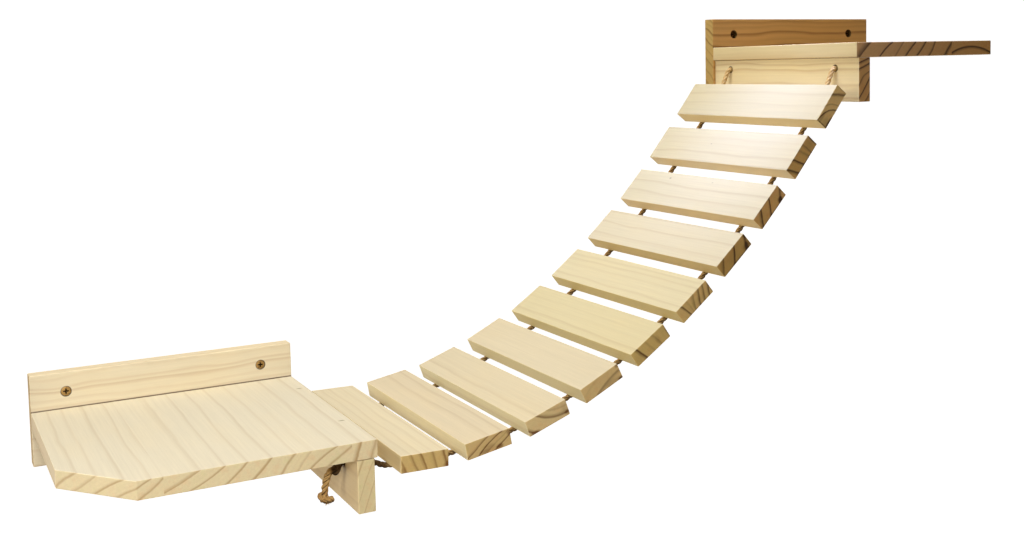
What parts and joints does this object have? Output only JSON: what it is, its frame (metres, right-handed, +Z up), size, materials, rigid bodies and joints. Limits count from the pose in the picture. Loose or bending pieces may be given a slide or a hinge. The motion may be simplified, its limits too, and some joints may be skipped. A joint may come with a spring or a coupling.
{
  "type": "cat wall bridge",
  "caption": "Wooden cat bridge for a wall: flat slats on two ropes hang in a curve between a low shelf platform and a higher one, each on a screwed back board.",
  "frame": {"origin": "middle of the lower back board's rear face, which lies on the wall", "axes": "X along the wall towards the higher platform, +Y into the wall, +Z up"},
  "size_m": [1.2062, 0.338, 0.4946],
  "materials": {
    "pine_back_board": "satin",
    "pine_shelf": "satin",
    "pine_bracket": "satin",
    "pine_slat": "satin",
    "jute_rope": "matt",
    "brass_screw": "satin",
    "zinc_screw": "satin",
    "steel_staple": "satin"
  },
  "bodies": {
    "platforms": {"back_board_lower": "pine_back_board", "shelf_lower": "pine_shelf", "bracket_lower": "pine_bracket", "wall_screw_lower_left": "brass_screw", "wall_screw_lower_right": "brass_screw", "back_screw_lower_outer": "zinc_screw", "back_screw_lower_inner": "zinc_screw", "back_screw_lower_bracket": "zinc_screw", "shelf_staple_lower_rear": "steel_staple", "shelf_staple_lower_front": "steel_staple", "back_board_upper": "pine_back_board", "shelf_upper": "pine_shelf", "bracket_upper": "pine_bracket", "wall_screw_upper_left": "brass_screw", "wall_screw_upper_right": "brass_screw", "back_screw_upper_outer": "zinc_screw", "back_screw_upper_inner": "zinc_screw", "back_screw_upper_bracket": "zinc_screw", "shelf_staple_upper_rear": "steel_staple", "shelf_staple_upper_front": "steel_staple", "rope_rear": "jute_rope", "rope_front": "jute_rope"},
    "slat_body_01": {"slat_01": "pine_slat", "slat_01_staple_rear": "steel_staple", "slat_01_staple_front": "steel_staple"},
    "slat_body_02": {"slat_02": "pine_slat", "slat_02_staple_rear": "steel_staple", "slat_02_staple_front": "steel_staple"},
    "slat_body_03": {"slat_03": "pine_slat", "slat_03_staple_rear": "steel_staple", "slat_03_staple_front": "steel_staple"},
    "slat_body_04": {"slat_04": "pine_slat", "slat_04_staple_rear": "steel_staple", "slat_04_staple_front": "steel_staple"},
    "slat_body_05": {"slat_05": "pine_slat", "slat_05_staple_rear": "steel_staple", "slat_05_staple_front": "steel_staple"},
    "slat_body_06": {"slat_06": "pine_slat", "slat_06_staple_rear": "steel_staple", "slat_06_staple_front": "steel_staple"},
    "slat_body_07": {"slat_07": "pine_slat", "slat_07_staple_rear": "steel_staple", "slat_07_staple_front": "steel_staple"},
    "slat_body_08": {"slat_08": "pine_slat", "slat_08_staple_rear": "steel_staple", "slat_08_staple_front": "steel_staple"},
    "slat_body_09": {"slat_09": "pine_slat", "slat_09_staple_rear": "steel_staple", "slat_09_staple_front": "steel_staple"},
    "slat_body_10": {"slat_10": "pine_slat", "slat_10_staple_rear": "steel_staple", "slat_10_staple_front": "steel_staple"}
  },
  "joints": [
    {"name": "bridge_sway", "type": "hinge", "parent": "platforms", "child": "slat_body_01", "pos_m": [0.1435, 0, -0.021], "axis": [0, -1, 0], "range_deg": [-3, 3], "stiffness_Nm_per_rad": 30, "springref_deg": 10.14, "deforming": ["rope_rear", "rope_front"]},
    {"name": "slat_02_flex", "type": "hinge", "parent": "slat_body_01", "child": "slat_body_02", "pos_m": [0.23133, 0, -0.0325], "axis": [0, -1, 0], "range_deg": [-1.61, 1.61], "stiffness_Nm_per_rad": 20, "springref_deg": 11.44},
    {"name": "slat_03_flex", "type": "hinge", "parent": "slat_body_02", "child": "slat_body_03", "pos_m": [0.30466, 0, -0.02087], "axis": [0, -1, 0], "range_deg": [-3.55, 3.55], "stiffness_Nm_per_rad": 12, "springref_deg": 14.43},
    {"name": "slat_04_flex", "type": "hinge", "parent": "slat_body_03", "child": "slat_body_04", "pos_m": [0.3751, 0, 0.00231], "axis": [0, -1, 0], "range_deg": [-5.89, 5.89], "stiffness_Nm_per_rad": 6, "springref_deg": 21.03},
    {"name": "slat_05_flex", "type": "hinge", "parent": "slat_body_04", "child": "slat_body_05", "pos_m": [0.44269, 0, 0.03311], "axis": [0, -1, 0], "range_deg": [-3.77, 3.77], "stiffness_Nm_per_rad": 4, "springref_deg": 21.81},
    {"name": "slat_06_flex", "type": "hinge", "parent": "slat_body_05", "child": "slat_body_06", "pos_m": [0.50548, 0, 0.07254], "axis": [0, -1, 0], "range_deg": [-1.36, 1.36], "stiffness_Nm_per_rad": 6, "springref_deg": 9.48},
    {"name": "slat_07_flex", "type": "hinge", "parent": "slat_body_06", "child": "slat_body_07", "pos_m": [0.5643, 0, 0.11784], "axis": [0, -1, 0], "range_deg": [-5.61, 5.61], "stiffness_Nm_per_rad": 2, "springref_deg": 16.89},
    {"name": "slat_08_flex", "type": "hinge", "parent": "slat_body_07", "child": "slat_body_08", "pos_m": [0.61923, 0, 0.16785], "axis": [0, -1, 0], "range_deg": [-5.89, 5.89], "stiffness_Nm_per_rad": 1.5, "springref_deg": 11.5},
    {"name": "slat_09_flex", "type": "hinge", "parent": "slat_body_08", "child": "slat_body_09", "pos_m": [0.66974, 0, 0.2223], "axis": [0, -1, 0], "range_deg": [-2, 2], "stiffness_Nm_per_rad": 2, "springref_deg": 3.35},
    {"name": "slat_10_flex", "type": "hinge", "parent": "slat_body_09", "child": "slat_body_10", "pos_m": [0.71698, 0, 0.27965], "axis": [0, -1, 0], "range_deg": [-3.28, 3.28], "stiffness_Nm_per_rad": 1, "springref_deg": 1.19}
  ],
  "couplings": [
    {"joint": "slat_02_flex", "follows": "bridge_sway", "ratio": 0.5196},
    {"joint": "slat_03_flex", "follows": "bridge_sway", "ratio": -1.1545},
    {"joint": "slat_04_flex", "follows": "bridge_sway", "ratio": -1.9196},
    {"joint": "slat_05_flex", "follows": "bridge_sway", "ratio": -1.225},
    {"joint": "slat_06_flex", "follows": "bridge_sway", "ratio": 0.4368},
    {"joint": "slat_07_flex", "follows": "bridge_sway", "ratio": 1.8274},
    {"joint": "slat_08_flex", "follows": "bridge_sway", "ratio": 1.9187},
    {"joint": "slat_09_flex", "follows": "bridge_sway", "ratio": 0.6471},
    {"joint": "slat_10_flex", "follows": "bridge_sway", "ratio": -1.0655}
  ]
}
